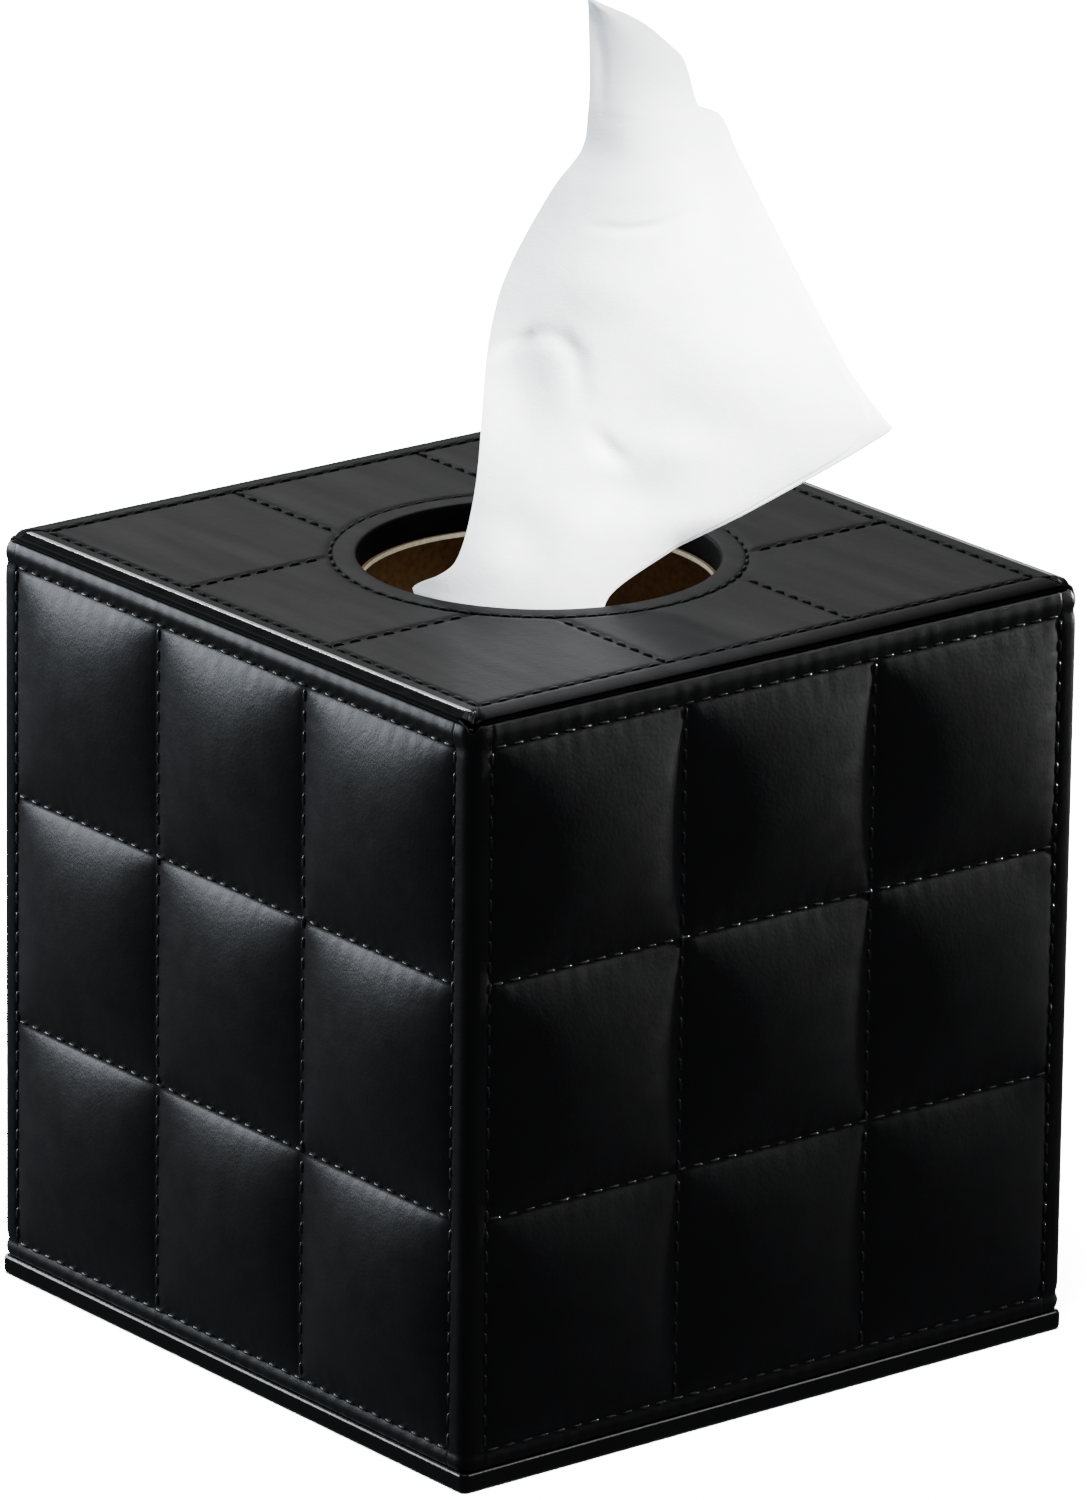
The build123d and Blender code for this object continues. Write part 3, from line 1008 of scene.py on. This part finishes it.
# Outline, as height above the top and place across, from the tail to the tip
LEFT_EDGE = (
    (-75, -15.8), (-20, -16.5), (-4, -19.5), (0, -21.6), (1.2, -20.6), (3.8, -16.8), (6.1, -14.4),
    (9, -13.1), (15, -11.6), (22.6, -10.5), (31.2, -9.9), (41.6, -9.2), (51.9, -7.4), (57.1, -5.6),
    (62.4, -3.1), (67.6, -0.3), (72.9, 2.9), (75.5, 5.0), (78.1, 6.7), (80.7, 7.4), (83.3, 7.6),
    (88.6, 7.9), (93.8, 7.8), (99, 7.6), (104, 7.4),
)
FRONT_EDGE = (
    (-75, 15.8), (-20, 14.0), (-4, 11.0), (0, 11.6), (8.2, 22.6), (19.3, 40.9), (28.6, 54.9),
    (32.4, 57.0), (34, 56.6), (37.4, 54.6), (39.9, 52.8), (45.1, 49.8), (52.8, 45.5), (63.1, 40.0),
    (73.4, 34.6), (78.5, 32.0), (82.0, 30.6), (84.4, 28.6), (85.4, 26.8), (87.2, 26.0), (91.5, 24.8),
    (94.1, 23.8), (96.8, 21.0), (99.9, 17.2), (101.9, 13.4), (102.9, 10.6), (104, 8.2),
)
BACK_EDGE = (
    (-75, 15.8), (-20, 14.0), (-4, 11.0), (0, 12.0), (8.2, 23.6), (19.3, 42.6), (28.6, 58.2),
    (30.3, 60.7), (30.7, 60.9), (31.2, 60.4), (34, 58.0), (39.9, 53.6), (45.1, 50.6), (52.8, 46.3),
    (63.1, 40.8), (73.4, 35.4), (78.5, 32.8), (82.0, 31.4), (84.4, 29.6), (85.2, 26.6), (87.6, 25.6),
    (91.5, 24.0), (94.1, 23.0), (96.8, 20.2), (99.9, 16.4), (101.9, 12.8), (102.9, 10.2), (104, 8.0),
)
# Place towards the viewer and bow, by height
LEAN = ((-75, 26.6), (0, 26.1), (11, 25.6), (31, 22.5), (56, 19.0), (80, 16.4), (104, 15.0))
BOW = ((0, 3.2), (24, 3.0), (40, 4.4), (56, 6.0), (71, 6.2), (88, 3.8), (104, 0.6))
# Creases: points across and up, depth and half width
CREASES = (
    (((8.6, 66.0), (14.5, 65.7), (20.4, 66.5), (25.8, 68.8)), 0.7, 0.9),
    (((-7.9, 42.0), (-3.8, 44.8), (-0.6, 46.7)), 1.3, 1.4),
    (((-0.6, 46.7), (3.6, 46.0), (6.1, 43.2), (7.7, 35.4)), 0.9, 2.0),
    (((9.3, 30.0), (11.9, 26.8), (15.2, 24.4)), 1.2, 1.8),
    (((8.8, 100.0), (9.9, 94.0), (10.1, 86.0)), 0.5, 1.2),
)
# Soft dents: middle across and up, half width, half height and depth
DENTS = (
    (-3.5, 36.0, 6.5, 9.0, 2.4),
    (15.0, 18.5, 8.0, 4.5, 2.0),
    (-2.0, 11.0, 5.0, 5.0, 1.3),
    (33.0, 42.0, 14.0, 9.0, -1.6),
    (11.0, 56.0, 9.0, 6.0, -1.0),
    (24.0, 27.0, 7.0, 4.0, -1.2),
    (30.0, 71.0, 5.0, 9.0, 1.2),
    (14.0, 82.0, 5.0, 5.0, -0.8),
)


def curve(points, at):
    """Smooth curve through points with rising first values, without overshoot between them."""
    x, y = np.array(points, float).T
    step = np.diff(x)
    slope = np.diff(y) / step
    tangent = np.zeros_like(y)
    tangent[0], tangent[-1] = slope[0], slope[-1]
    for k in range(1, len(x) - 1):
        if slope[k - 1] * slope[k] > 0:
            before, after = 2 * step[k] + step[k - 1], step[k] + 2 * step[k - 1]
            tangent[k] = (before + after) / (before / slope[k - 1] + after / slope[k])
    k = np.clip(np.searchsorted(x, at, side="right") - 1, 0, len(step) - 1)
    t = (at - x[k]) / step[k]
    rest = 1 - t
    return (
        y[k] * (1 + 2 * t) * rest ** 2
        + y[k + 1] * (3 - 2 * t) * t ** 2
        + step[k] * t * rest * (tangent[k] * rest - tangent[k + 1] * t)
    )


def crease_depth(across, up, points, depth, width):
    """How far a crease draws the sheet back, fading towards its ends."""
    nearest = np.full(across.shape, FAR)
    share = np.zeros(across.shape)
    runs = len(points) - 1
    for number in range(runs):
        start, end = np.array(points[number], float), np.array(points[number + 1], float)
        run = end - start
        t = np.clip(((across - start[0]) * run[0] + (up - start[1]) * run[1]) / (run @ run), 0, 1)
        distance = np.hypot(across - start[0] - t * run[0], up - start[1] - t * run[1])
        closer = distance < nearest
        nearest = np.where(closer, distance, nearest)
        share = np.where(closer, (number + t) / runs, share)
    fade = CREASE_END + (1 - CREASE_END) * np.sin(math.pi * share)
    return depth * fade * np.exp(-(nearest / width) ** 2)


def tissue_layer(heights, shares, right_edge, side):
    """One layer of the sheet; side is 1 in front and -1 behind."""
    left, right = curve(LEFT_EDGE, heights), curve(right_edge, heights)
    shares = shares[None, :]
    up = np.repeat(heights[:, None], shares.size, axis=1)
    across = left[:, None] + (right - left)[:, None] * shares
    opened = np.clip(up / BLEND_RISE, 0, 1)
    opened = opened * opened * (3 - 2 * opened)
    tail = np.sqrt((opening - TAIL_FIT) ** 2 - np.clip(across, -TAIL_HALF, TAIL_HALF) ** 2)
    bow = curve(BOW, np.maximum(heights, 0.0))[:, None] * (1 - (2 * shares - 1) ** 2)
    sheet = curve(LEAN, heights)[:, None] + bow
    out = tail * (1 - opened) + sheet * opened
    above = np.clip(up / FREE_RISE, 0, 1)
    fan = FAN_DEPTH * np.exp(-((up - FAN_HEIGHT) / FAN_HEIGHT) ** 2)
    fan = fan * np.sin(FAN_WAVES * shares + FAN_START + FAN_TWIST * up)
    sway = SWAY_DEPTH * np.sin(across / SWAY_ACROSS + up / SWAY_UP) * np.sin(up / SWAY_CHANGE + SWAY_START)
    curl = CURL_DEPTH * np.exp(-(shares / CURL_SHARE) ** 2) * np.clip((up - CURL_FROM) / CURL_RISE, 0, 1)
    out = out + above * (fan + sway) - curl
    for points, depth, width in CREASES:
        out = out - crease_depth(across, up, points, depth, width)
    for middle, height, wide, tall, depth in DENTS:
        out = out - depth * above * np.exp(-((across - middle) / wide) ** 2 - ((up - height) / tall) ** 2)
    near_fold = np.clip(shares / FOLD_SHARE, 0, 1)
    gap = LAYER_GAP * np.sqrt(1 - (1 - near_fold) ** 2)
    gap = gap * (GAP_LEAST + GAP_SWELL * np.sin(math.pi * shares * GAP_WAVE))
    gap = gap * np.clip((tip - top_high - up) / TIP_CLOSES, TIP_GAP, 1)
    out = out + side * gap / 2 - gap / 2
    z = top_high + up
    return across[..., None] * ACROSS + out[..., None] * TOWARDS + z[..., None] * UPWARDS


low_heights = np.linspace(tail_low - top_high, 0, TAIL_ROWS)[:-1]
high_heights = np.linspace(0, tip - top_high, SHEET_ROWS)
heights = np.concatenate([low_heights, high_heights])
shares = np.concatenate([FOLD_SHARES, np.linspace(FOLD_SHARE, 1.0, SHEET_COLUMNS)])
front_layer = tissue_layer(heights, shares, FRONT_EDGE, 1)
back_layer = tissue_layer(heights, shares, BACK_EDGE, -1)
sheet_points = np.concatenate([back_layer[:, :0:-1], front_layer], axis=1)
pulled = grid_mesh("pulled_tissue", sheet_points, tissue)
thicken(pulled, PLY)
place(pulled, "tissue", "tissue", "tissue_sheet")

# Floor, lights and camera
FLOOR = 12000.0  # half its width
floor = new_mesh(
    "floor",
    [(-FLOOR, -FLOOR, 0.0), (FLOOR, -FLOOR, 0.0), (FLOOR, FLOOR, 0.0), (-FLOOR, FLOOR, 0.0)],
    [(0, 1, 2, 3)],
    floor_material(),
)
floor.visible_glossy = False
floor.visible_diffuse = False


def aim(lamp, place_m, aim_m):
    """Put a light at a place and turn it to a point, in metres."""
    lamp.location = place_m
    lamp.rotation_euler = (Vector(aim_m) - lamp.location).to_track_quat("-Z", "Y").to_euler()
    return lamp


def softbox(name, place_m, aim_m, width, height, power):
    """Area light at a place, aimed at a point, in metres and watts."""
    light = bpy.data.lights.new(name, "AREA")
    light.shape = "RECTANGLE"
    light.size = width
    light.size_y = height
    light.energy = power
    return aim(link(bpy.data.objects.new(name, light)), place_m, aim_m)


AIM = (0.0, 0.0, 0.1)
KEY_AIM = (0.0, 0.0, 0.12)
REAR_AIM = (0.0675, 0.0, 0.17)  # top row of the right wall
GLOW_AIM = (0.0356, 0.0098, 0.1856)  # middle of the pulled tissue
COOL = (0.86, 0.93, 1.0)
COLD = (0.8, 0.9, 1.0)
key_light = softbox("key_light", (-0.68, -0.28, 0.27), KEY_AIM, 0.75, 0.30, 6.2)
key_light.data.color = COOL
softbox("left_light", (-1.18, 0.62, 0.98), AIM, 0.6, 0.05, 8.0)
softbox("back_light", (-1.18, 1.22, 0.78), AIM, 1.3, 0.45, 4.6)
rear_light = softbox("rear_light", (0.155, 0.93, 0.20), REAR_AIM, 0.05, 0.12, 0.20)
rear_light.data.spread = math.radians(20)
rear_light.visible_diffuse = False
softbox("roll_light", (-0.92, 1.13, 1.32), AIM, 0.75, 0.75, 1.6)
softbox("hem_light", (0.92, 1.18, 1.27), AIM, 0.6, 0.6, 3.4)
softbox("sky_light", (0.0, 0.0, 2.2), AIM, 2.0, 2.0, 6)
paper_light = softbox("paper_light", (1.75, 0.1, 1.45), AIM, 0.9, 0.9, 135)
paper_fill = softbox("paper_fill", (-1.0, -1.3, 0.7), AIM, 0.9, 0.9, 40)
paper_fill.data.color = COLD
opening_light = softbox("opening_light", (1.45, -1.0, 0.80), AIM, 0.5, 0.5, 11.0)
floor_light = softbox("floor_light", (0.6, -0.5, 2.4), AIM, 1.5, 1.5, 2200)

glow = bpy.data.lights.new("paper_glow", "SPOT")
glow.energy = 800
glow.spot_size = math.radians(4.0)
glow.spot_blend = 1.0
glow.shadow_soft_size = 0.02
paper_glow = aim(link(bpy.data.objects.new("paper_glow", glow)), (1.35, 0.3, 0.9), GLOW_AIM)


def light_only(lamp, *objects):
    """Let a light reach only these objects."""
    lamp.light_linking.receiver_collection = bpy.data.collections.new("lit_by_" + lamp.name)
    for obj in objects:
        lamp.light_linking.receiver_collection.objects.link(obj)


linings = [obj for name, obj in frame["nodes"].items() if name.endswith("_lining")]
walls_and_base = [
    obj for obj in bpy.data.objects
    if obj.type == "MESH" and obj is not floor and not obj.name.startswith(("top_", "opening_"))
]
light_only(paper_light, pulled, stack, *linings)
light_only(rear_light, *walls_and_base)
light_only(paper_fill, pulled)
light_only(paper_glow, pulled)
light_only(opening_light, *linings)
light_only(floor_light, floor)

world = bpy.data.worlds.new("studio")
world.use_nodes = True
background = world.node_tree.nodes["Background"]
background.inputs["Color"].default_value = (0.9, 0.92, 1.0, 1.0)
background.inputs["Strength"].default_value = 0.06
bpy.context.scene.world = world

# The camera's own axes and its place, in metres, at the photo's angle
RIGHT = Vector((0.61906, 0.78525, 0.01203))
UP = Vector((-0.25237, 0.1844, 0.9499))
BACK = Vector((0.74369, -0.59109, 0.31233))
CAMERA_PLACE = (1.5734, -1.2489, 0.7639)
camera_data = bpy.data.cameras.new("camera")
camera_data.sensor_fit = "VERTICAL"
camera_data.sensor_height = 36.0
camera_data.lens = 288.42
camera = link(bpy.data.objects.new("camera", camera_data))
camera_turn = Matrix((RIGHT, UP, BACK)).transposed().to_4x4()
camera.matrix_world = Matrix.Translation(CAMERA_PLACE) @ camera_turn
bpy.context.scene.camera = camera
